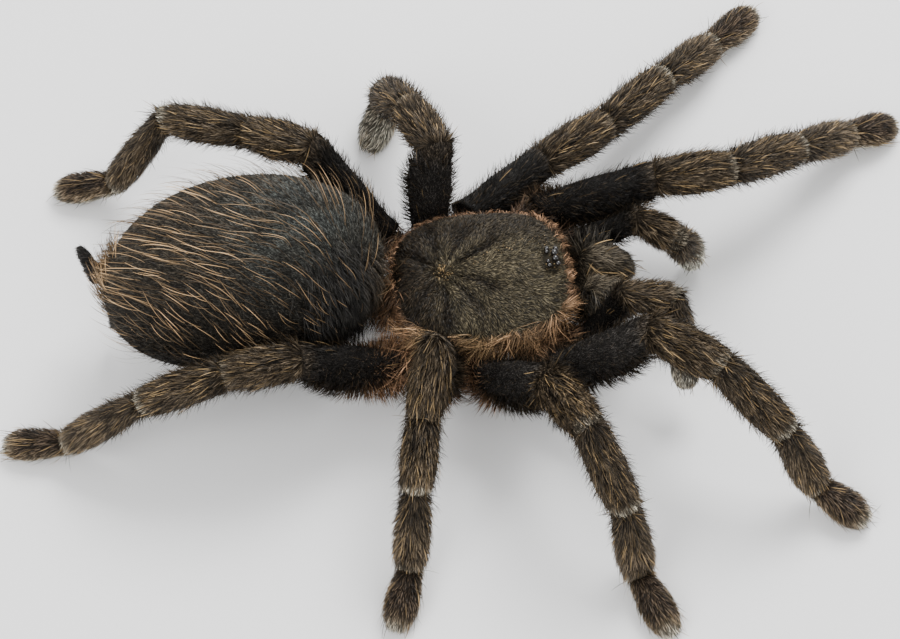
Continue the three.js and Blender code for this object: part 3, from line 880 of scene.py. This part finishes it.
def claws(limb, article):
    """A pair of small hooked claws at the tip of a foot."""
    tip = article.start + article.axis * article.length
    hooks = []
    for sign in (1, -1):
        rings = []
        for share in np.linspace(0, 1, 7):
            forward = -0.9 + 1.25 * share
            up = 0.55 + 0.25 * math.sin(math.pi * share) - 0.9 * share**2
            centre = tip + (article.axis * forward + article.side * sign * 0.35 + article.back * up) * MM
            centre[2] = max(centre[2], 0.15 * MM)
            turns = np.arange(6)[:, None] * math.pi / 3
            rim = np.cos(turns) * article.side + np.sin(turns) * article.back
            rings.append(centre + rim * CLAW_RADIUS * (1 - 0.85 * share))
        hooks.append(tube(rings))
    points, faces, _ = merged(hooks, [{}, {}])
    surface = Surface(points, faces)
    obj = skin_piece(f"{limb}_claws", surface, settings()[1].horn, "fang_horn", kind="horn")
    faces_outward(obj.data)


def faces_outward(mesh):
    shell = bmesh.new()
    shell.from_mesh(mesh)
    bmesh.ops.recalc_face_normals(shell, faces=shell.faces)
    shell.to_mesh(mesh)
    shell.free()


class TARANTULA_OT_legs(bpy.types.Operator):
    """Skins, fur, bristles and claws of the eight legs"""

    bl_idname = "tarantula.legs"
    bl_label = "Walking Legs"

    def execute(self, context):
        for limb in LEGS:
            claws(limb, limb_fur(limb, LEG_ARTICLES)[-1])
        return {"FINISHED"}


class TARANTULA_OT_palps(bpy.types.Operator):
    """Skins, fur and bristles of the two palps"""

    bl_idname = "tarantula.palps"
    bl_label = "Palps"

    def execute(self, context):
        for limb in PALPS:
            limb_fur(limb, PALP_ARTICLES)
        return {"FINISHED"}


# ------------------------------------------------------------------ body


def rim_share(centred):
    """How far out on the carapace places are, from 0 at its middle to 1 at its rim."""
    along, across = centred @ SHIELD_FORWARD / SHIELD_HALF[0], centred @ SHIELD_LEFT / SHIELD_HALF[1]
    across = across / (1 - 0.05 * along - 0.08 * along**2)
    power = np.where(along > 0, 3.4, 2.8)
    return (np.abs(along) ** power + np.abs(across) ** power) ** (1 / power)


def carapace_grooves(forward, left):
    """How deep in a radial groove of the carapace places are, from 0 to 1."""
    angle = np.arctan2(left, forward)
    away = np.hypot(forward, left)
    apart = np.abs((angle[:, None] - np.radians(SPOKES) + math.pi) % math.tau - math.pi).min(1)
    return np.exp(-((apart / GROOVE_ANGLE) ** 2)) * ramp(away, 1.0, 2.5) * (1 - ramp(away, 6.5, 10.0))


def carapace_tone(forward, left, grooves, colours):
    """The colour of the carapace's velvet at places measured from the fovea, in millimetres, with painted
    shade on its rear, its left side and in its grooves.
    """
    points = np.column_stack([forward, left, left * 0])
    tone = mottled(colours.shield, points, 1.8, 0.7, 0.6)
    # Painted shade: the rear and the left side of the carapace are painted darker, and the grooves darker
    # still.
    dark = np.maximum(ramp(-forward, -1.0, 3.0), ramp(left, 1.5, 6.0) * 0.85)
    tone = blended(tone, colours.shield_dark, np.clip(dark + 0.9 * grooves, 0, 1) * 0.92)
    light = np.exp(-(((forward - 7) / 4.5) ** 2) - ((left + 0.5) / 2.4) ** 2)
    # Painted shade in the grooves: they are darkened once more on top of the blend.
    return tone * ((1 + 0.35 * light) * (1 - 0.45 * grooves))[:, None]


class TARANTULA_OT_carapace(bpy.types.Operator):
    """The carapace's skin, its velvet combed out from the fovea, and the fringe round its rim"""

    bl_idname = "tarantula.carapace"
    bl_label = "Carapace"

    def execute(self, context):
        fur, colours, _ = settings()
        surface = rounded("carapace", 2).sunk(0.25 * MM)
        offset = surface.points - FOVEA
        forward, left = offset @ SHIELD_FORWARD / MM, offset @ SHIELD_LEFT / MM
        grooves = carapace_grooves(forward, left)
        surface.points[:, 2] -= grooves * ramp(surface.normals[:, 2], 0.3, 0.7) * GROOVE_DEPTH
        comb = units(offset * np.array([1, 1, 0])) + np.array([0, 0, -0.25])
        comb = comb + np.cross([0, 0, 1], comb) * (ripple(surface.points, 2.2 * MM, 2.0) - 0.5)[:, None]
        centred = surface.points - SHIELD
        rim = rim_share(centred)
        upper = ramp(surface.normals[:, 2], -0.1, 0.25)
        eyes = 1 - ramp(np.linalg.norm((surface.points - EYE_MOUND)[:, :2], axis=1), 1.0 * MM, 1.8 * MM)
        tone = carapace_tone(forward, left, grooves, colours)
        tone = blended(tone, colours.rust, ramp(rim, 0.93, 1.0) * 0.7)
        tone = blended(tone, colours.shield * 0.8, eyes)
        under_tone = blended(tone, colours.skin, 0.3)
        skin_piece("carapace", surface, under_tone, "carapace_velvet", "carapace")
        cover = (1 - eyes) * (0.15 + 0.85 * upper)
        away = np.linalg.norm(offset[:, :2], axis=1)
        crumbs = 1 - ramp(away, 0.7 * MM, 1.5 * MM)
        ridge = np.exp(-(((left - 0.28 * forward + 0.6) / 0.9) ** 2))
        ridge = ridge * ramp(forward, 2, 6) * (1 - ramp(forward, 14, 16))
        dust = np.maximum(crumbs, 0.3 * ridge + 0.5 * eyes) * upper
        parts = [
            hair_on("carapace_pile", surface, comb, tone, cover, density=48, segments=2,
                    length=fur.shield_velvet, lift=0.2, spread=0.1, sway=0.25, lock=0.35, lock_size=1.6 * MM,
                    width=fur.hair_width * 0.7),
            hair_on("fovea_tuft", surface, comb, colours.gold, dust, 0.35 + 0.65 * crumbs, density=12,
                    length=0.8 * MM, lift=0.8, spread=0.5, sway=2.5, curl=0.25, segments=3, width=0.14 * MM),
        ]
        place(joined("carapace_fur", parts), "carapace_velvet")
        front = ramp(centred @ SHIELD_FORWARD, 8 * MM, 11 * MM)
        near = ramp(-(centred @ SHIELD_LEFT), 4 * MM, 9 * MM)
        corner = near * ramp(-forward, 1, 5)
        edge = ramp(rim, 0.93 - 0.05 * front - 0.05 * near, 0.99)
        edge = edge * ramp(surface.normals[:, 2], -0.7, -0.2)
        side = (np.sign(centred @ SHIELD_LEFT) * (1 - front) + 0.7 * front)[:, None]
        swirl = comb + np.cross([0, 0, 1], comb) * side * (1.0 + 1.4 * near)[:, None]
        swirl = swirl + np.outer(1 - near, [0, 0, -0.5])
        rust = blended(colours.rust, colours.gold, near * (0.3 + 0.5 * ripple(surface.points, 2 * MM, 1.0)))
        rust = mottled(rust, surface.points, 0.8 * MM, 0.3, 1.4)
        fringe = hair_on(
            "carapace_fringe", surface, swirl, rust, edge, 0.5 + 0.8 * near + 0.6 * corner, 1 + 1.4 * near,
            density=68, length=fur.shield_fringe, lift=0.1, spread=0.28, sway=0.6, lock=0.9,
            lock_size=1.6 * MM, curl=0.2, wave=0.09, segments=4, width=fur.hair_width * 0.5,
        )
        place(fringe, "carapace_velvet")
        return {"FINISHED"}


class TARANTULA_OT_abdomen(bpy.types.Operator):
    """The abdomen's skin, its velvet, and its long amber bristles"""

    bl_idname = "tarantula.abdomen"
    bl_label = "Abdomen"

    def execute(self, context):
        fur, colours, _ = settings()
        surface = rounded("abdomen", 1).sunk(0.35 * MM)
        low, high = box_of("abdomen")
        middle = (low + high) / 2
        inside = (surface.points - middle) / ((high - low) / 2)
        rearward, left, up = -inside[:, 0], inside[:, 1], inside[:, 2]
        tail = box_of("right_spinneret").mean(0)
        gather = ramp(rearward, 0.45, 0.95)
        climb = 1.4 * ramp(-left, 0.25, 0.95)
        swing = 0.3 + 0.3 * np.clip(left, 0, 1) + 0.9 * ramp(-rearward, 0.2, 0.9)
        comb = np.column_stack([np.full(len(up), -1.0), swing, climb])
        comb = units(comb) * (1 - gather)[:, None] + units(tail - surface.points) * gather[:, None]
        # Painted sheen: the top of the abdomen towards its front is painted cool grey, as if catching the
        # light.
        painted_sheen = ramp(up, 0.1, 0.9) * ramp(-rearward, -0.5, 0.5)
        painted_sheen = painted_sheen * (0.4 + 0.6 * ripple(surface.points, 3 * MM))
        tone = blended(colours.abdomen_brown, colours.fuzz, painted_sheen)
        # Painted shade: the abdomen is painted darker low down and on its right flank, its shadow side.
        painted_shade_low = np.maximum(ramp(-left, 0.1, 0.8) * 0.6, ramp(-up, -0.1, 0.6))
        tone = blended(tone, colours.abdomen, painted_shade_low)
        tone = mottled(tone, surface.points, 0.9 * MM, 0.65, 0.7, 3.0)
        skin_piece("abdomen", surface, blended(tone, colours.skin, 0.25), "abdomen_velvet", "abdomen")
        pile = hair_on(
            "abdomen_fur", surface, comb, tone, 0.6 + 0.4 * ramp(up, -0.6, -0.1), density=43,
            length=fur.abdomen_velvet, lift=0.35, spread=0.2, sway=0.6, lock=0.4, lock_size=0.7 * MM,
            width=fur.hair_width,
        )
        place(pile, "abdomen_velvet")
        crowd = 0.8 + 0.2 * ramp(rearward, -0.7, 0.0) + 0.3 * ramp(rearward, 0.4, 0.9)
        crowd = crowd * (0.3 + 0.7 * ramp(up, -0.6, 0.2))
        crowd = crowd * (1 - 0.55 * ramp(rearward, 0.1, 0.6) * ramp(left, 0.0, 0.5))
        amber = blended(colours.amber, colours.amber * 0.55, ramp(-rearward, -0.4, 0.6))
        reach = 1 - 0.3 * ramp(rearward, 0.6, 1.0)
        steep = 1 - 0.7 * ramp(-left, 0.4, 0.9)
        root = np.linalg.norm(surface.points - (tail - np.array([-1.0, 2.0, 1.0]) * MM), axis=1)
        tuft = 1 - ramp(root, 2.5 * MM, 6.5 * MM)
        finger = point_array(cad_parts["right_spinneret"].data)
        reached = np.linalg.norm(finger - middle, axis=1)
        along_finger = unit(finger[reached.argmax()] - finger[reached.argmin()])
        waist = ramp(inside[:, 0], 0.3, 0.7) * ramp(-left, 0.0, 0.5)
        front = ramp(inside[:, 0], 0.7, 0.95) * (1 - ramp(up, -0.5, -0.1))
        down = blended([0.2, -0.8, -0.8], [0.8, -0.7, -0.2], front)
        fuzz = mottled(colours.leg_fur, surface.points, 1.5 * MM, 0.3, 0.5)
        # The waist hairs are real hair, but away from the front they take a darker copy of the abdomen's
        # painted shade, so they read as its shadow side.
        fuzz = blended(colours.abdomen * 0.7, fuzz, ramp(inside[:, 0], 0.75, 0.98))
        drooping = 0.4 + 0.8 * np.maximum(front, ramp(-up, 0.0, 0.6))
        fine = fur.hair_width * 0.7
        parts = [
            hair_on("abdomen_amber", surface, comb, amber, crowd, reach, steep, density=0.46,
                    length=fur.abdomen_bristle, lift=0.42, spread=0.12, sway=0.16, lock=0.25,
                    lock_size=8 * MM, curl=0.13, roll=1.0, segments=7, width=0.088 * MM),
            hair_on("tail_tuft", surface, along_finger, colours.amber * 0.85, tuft, density=6,
                    length=4.2 * MM, lift=0.3, spread=0.2, sway=0.3, curl=0.08, segments=5, width=0.12 * MM),
            hair_on("abdomen_outline", surface, comb, colours.abdomen_brown, density=1.5, length=1.6 * MM,
                    lift=0.6, spread=0.3, sway=0.5, curl=0.1, segments=2, width=fine),
            hair_on("waist_fuzz", surface, down, fuzz, waist + front, drooping, density=16, length=5.8 * MM,
                    lift=0.6, spread=0.25, sway=0.4, curl=0.12, segments=4, width=fine),
        ]
        place(joined("abdomen_bristles", parts), "abdomen_velvet")
        return {"FINISHED"}


class TARANTULA_OT_underside(bpy.types.Operator):
    """Breast plate, coxae and pedicel with their tangled hair"""

    bl_idname = "tarantula.underside"
    bl_label = "Underside"

    def execute(self, context):
        fur, colours, _ = settings()
        surface = rounded(COXAE, 1, 0.3).sunk(0.2 * MM)
        offset = surface.points - SHIELD
        ahead = ramp(offset @ SHIELD_FORWARD, 5 * MM, 9 * MM)
        behind = ramp(-(offset @ SHIELD_FORWARD), 6 * MM, 9 * MM)
        comb = blended(units(offset * np.array([0.5, 1.0, 0.0])), [1.0, 0.0, 0.3], ahead * 0.7)
        comb = blended(comb, [-1.0, -0.6, 0.5], behind * 0.7)
        outer = ramp(np.abs(offset[:, 1]), 4 * MM, 9 * MM)
        top = ramp(surface.normals[:, 2], -0.4, 0.3)
        far = ramp(offset[:, 1], 4 * MM, 8 * MM)
        tone = blended(colours.velvet_black * 1.5, colours.rust, outer * (0.3 + 0.6 * top) * (1 - 0.6 * far))
        tone = mottled(tone, surface.points, 1.3 * MM, 0.4, 1.0)
        under_tone = blended(tone, colours.skin, 0.6)
        skin_piece(COXAE, surface, under_tone, "black_velvet", COXAE)
        reach = 0.45 + 0.55 * outer + 0.4 * ahead + 0.7 * behind
        cover = np.maximum(0.5 + 0.5 * outer, 1.8 * ahead) * (0.4 + 0.6 * np.maximum(top, ahead))
        far = far * (1 - 0.5 * ahead)
        hair = hair_on(
            "coxa_hair", surface, comb, tone, cover, reach * (1 - 0.4 * far), 1 - 0.6 * far, density=13,
            length=fur.coxa_hair, lift=0.6, spread=0.4, sway=0.8, lock=0.8, lock_size=2 * MM, curl=0.16,
            wave=0.05, segments=3, width=fur.hair_width * 0.75,
        )
        place(hair, "black_velvet")
        waist = rounded("pedicel", 2).sunk(0.1 * MM)
        skin_piece("pedicel", waist, colours.velvet_black, "black_velvet", "pedicel")
        brown = mottled(colours.rust, waist.points, 0.8 * MM, 0.3, 0.6)
        hair = hair_on(
            "pedicel_hair", waist, [-0.5, -0.7, -0.7], brown, density=60, length=5.6 * MM,
            lift=0.8, spread=0.5, sway=0.9, curl=0.1, segments=3, width=fur.hair_width,
        )
        place(hair, "black_velvet")
        return {"FINISHED"}


class TARANTULA_OT_jaws(bpy.types.Operator):
    """The two chelicerae with their coarse hair, and the fangs folded under them"""

    bl_idname = "tarantula.jaws"
    bl_label = "Jaws"

    def execute(self, context):
        fur, colours, _ = settings()
        for side in ("left", "right"):
            node = f"{side}_chelicera"
            surface = rounded(node, 2).sunk(0.3 * MM)
            low, high = box_of(node)
            forward = (surface.points[:, 0] - low[0]) / (high[0] - low[0])
            comb = np.column_stack([np.ones(len(forward)), np.zeros(len(forward)), -0.15 - 0.9 * forward**2])
            tone = mottled(colours.jaw, surface.points, 1.0 * MM, 0.6, 0.8)
            tone = blended(tone, tone * 0.6, ramp(forward, 0.4, 1.0))
            # Painted shade: the left chelicera is painted darker on its outer side.
            if side == "left":
                tone = blended(tone, tone * 0.5, ramp(surface.normals[:, 1], 0.0, 0.7))
            under_tone = blended(tone, colours.skin, 0.4)
            skin_piece(node, surface, under_tone, "jaw_fur", node)
            outward = 1 if side == "left" else -1
            outer = ramp(surface.normals[:, 1] * outward, 0.1, 0.7)
            base = 1 - ramp(forward, 0.06, 0.25)
            cheek = np.maximum(outer * (1 - ramp(forward, 0.3, 0.8)), 1.6 * base)
            aside = blended([0.2, outward, -0.5], [-0.5, 0.3 * outward, 1.0], base)
            parts = [
                hair_on(f"{side}_cheek", surface, aside, tone * 0.35, cheek, density=16,
                        length=2.4 * fur.jaw_hair, lift=0.8, spread=0.3, sway=0.6, curl=0.12, segments=3,
                        width=fur.hair_width * 0.8),
                hair_on(f"{side}_jaw_pile", surface, comb, tone, density=55, length=fur.jaw_hair, lift=0.4,
                        spread=0.2, sway=0.3, lock=0.8, lock_size=1.0 * MM, width=fur.hair_width),
                hair_on(f"{side}_jaw_bristle", surface, comb, colours.gold, density=0.5,
                        length=fur.leg_bristle * 1.1, lift=0.45, spread=0.2, sway=0.5, curl=0.16, segments=6,
                        width=0.11 * MM),
            ]
            place(joined(f"{side}_chelicera_fur", parts), "jaw_fur")
            fang = f"{side}_fang"
            skin_piece(fang, rounded(fang, 2), colours.horn, "fang_horn", fang, kind="horn")
        return {"FINISHED"}


class TARANTULA_OT_spinnerets(bpy.types.Operator):
    """The two finger-like spinnerets with their short hair"""

    bl_idname = "tarantula.spinnerets"
    bl_label = "Spinnerets"

    def execute(self, context):
        fur, colours, _ = settings()
        tail = box_of("abdomen").mean(0)
        for side in ("left", "right"):
            node = f"{side}_spinneret"
            surface = rounded(node, 2, END_CREASE)
            comb = unit(surface.points.mean(0) - tail)
            # The root end reaches into the abdomen's skin, which lies a little inside its solid.
            out = surface.points @ comb
            root = 1 - ramp(out, out.min(), out.min() + SPINNERET_ROOT)
            surface = Surface(surface.points - np.outer(root, comb) * SPINNERET_DEPTH, surface.faces)
            tone = colours.velvet_black * 1.2
            skin_piece(node, surface, tone, "black_velvet", node)
            hair = hair_on(
                f"{node}_hair", surface, comb, tone * 1.6, density=30, length=0.7 * MM,
                lift=0.35, spread=0.2, sway=0.5, width=fur.hair_width * 0.8,
            )
            place(hair, "black_velvet")
        return {"FINISHED"}


class TARANTULA_OT_eyes(bpy.types.Operator):
    """The eight small eyes on their mound"""

    bl_idname = "tarantula.eyes"
    bl_label = "Eyes"

    def execute(self, context):
        points = point_array(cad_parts["carapace"].data)
        shell = bmesh.new()
        for forward, aside, radius in EYES:
            for sign in (1, -1):
                centre = EYE_MOUND + (SHIELD_FORWARD * forward + SHIELD_LEFT * sign * aside) * MM
                near = points[np.linalg.norm((points - centre)[:, :2], axis=1) < radius * MM * 1.1]
                centre[2] = near[:, 2].max() - radius * MM * 0.95
                bmesh.ops.create_icosphere(
                    shell, subdivisions=3, radius=radius * MM, matrix=Matrix.Translation(Vector(centre))
                )
        mesh = bpy.data.meshes.new("eyes")
        shell.to_mesh(mesh)
        shell.free()
        mesh.polygons.foreach_set("use_smooth", [True] * len(mesh.polygons))
        mesh.materials.append(material_of("eye"))
        place(linked("eyes", mesh), "fang_horn")
        return {"FINISHED"}


# ------------------------------------------------------------------ stage


class TARANTULA_OT_stage(bpy.types.Operator):
    """A pale floor, soft lights and the camera"""

    bl_idname = "tarantula.stage"
    bl_label = "Stage"

    def execute(self, context):
        stage = settings()[2]
        scene = context.scene
        aim = Vector(SHIELD) + Vector((*AIM_OFFSET, 0)) * MM
        aim.z = AIM_HEIGHT * MM
        turn = Quaternion((0, 0, 1), stage.turn)
        backward = turn @ Vector((0, -math.cos(stage.elevation), math.sin(stage.elevation)))
        camera = bpy.data.objects.new("camera", bpy.data.cameras.new("camera"))
        camera.data.lens = stage.lens
        camera.data.sensor_width = 36
        camera.data.clip_start = 0.01
        camera.location = aim + backward * stage.distance
        camera.rotation_euler = backward.to_track_quat("Z", "Y").to_euler()
        scene.collection.objects.link(camera)
        scene.camera = camera

        corners = np.array([(-1, -1, 0), (1, -1, 0), (1, 1, 0), (-1, 1, 0)]) * FLOOR_HALF
        floor_mesh = mesh_of("floor", corners, [(0, 1, 2, 3)], {})
        material, graph = new_material("pale_floor")
        grain = graph.noise(graph.node("ShaderNodeTexCoord", output="Object"), 30.0)
        whites = {0: grain, 6: (0.9, 0.9, 0.9), 7: (0.93, 0.93, 0.93)}
        colour = graph.node("ShaderNodeMix", whites, data_type="RGBA")
        principled(graph, {"Base Color": colour, "Roughness": 0.9})
        floor_mesh.materials.append(material)
        linked("floor", floor_mesh)

        world = bpy.data.worlds.new("studio")
        scene.world = world
        world.use_nodes = True
        background = world.node_tree.nodes["Background"].inputs
        background["Color"].default_value = (1, 1, 1, 1)
        background["Strength"].default_value = stage.sky

        for name, spot, power, width in (
            ("key", (0.2, 0.35, 0.55), stage.key_power, 0.35),
            ("fill", (-0.35, -0.3, 0.5), stage.key_power * 0.4, 0.4),
        ):
            light = bpy.data.lights.new(name, "AREA")
            light.energy = power
            light.size = width
            obj = bpy.data.objects.new(name, light)
            obj.location = spot
            obj.rotation_euler = (Vector(spot) - aim).to_track_quat("Z", "Y").to_euler()
            scene.collection.objects.link(obj)
        return {"FINISHED"}


class TARANTULA_PT_panel(bpy.types.Panel):
    """Lists the specimen's pieces"""

    bl_idname = "TARANTULA_PT_panel"
    bl_label = "Tarantula"
    bl_space_type = "VIEW_3D"
    bl_region_type = "UI"
    bl_category = "Tarantula"

    def draw(self, context):
        for group in ("tarantula_fur", "tarantula_colours", "tarantula_stage"):
            box = self.layout.box()
            for name in getattr(context.scene, group).bl_rna.properties.keys():
                if name not in ("rna_type", "name"):
                    box.prop(getattr(context.scene, group), name)
        for operator in OPERATORS:
            self.layout.operator(operator.bl_idname)


OPERATORS = (
    TARANTULA_OT_stage,
    TARANTULA_OT_legs,
    TARANTULA_OT_palps,
    TARANTULA_OT_carapace,
    TARANTULA_OT_abdomen,
    TARANTULA_OT_underside,
    TARANTULA_OT_jaws,
    TARANTULA_OT_spinnerets,
    TARANTULA_OT_eyes,
)
CLASSES = (TarantulaFur, TarantulaColours, TarantulaStage, *OPERATORS, TARANTULA_PT_panel)
GROUPS = {
    "tarantula_fur": TarantulaFur,
    "tarantula_colours": TarantulaColours,
    "tarantula_stage": TarantulaStage,
}


def register():
    for cls in CLASSES:
        bpy.utils.register_class(cls)
    for name, group in GROUPS.items():
        setattr(bpy.types.Scene, name, PointerProperty(type=group))


def unregister():
    for name in GROUPS:
        delattr(bpy.types.Scene, name)
    for cls in reversed(CLASSES):
        bpy.utils.unregister_class(cls)


def main():
    register()
    for operator in OPERATORS:
        group, name = operator.bl_idname.split(".")
        getattr(getattr(bpy.ops, group), name)()


if __name__ == "__main__":
    main()
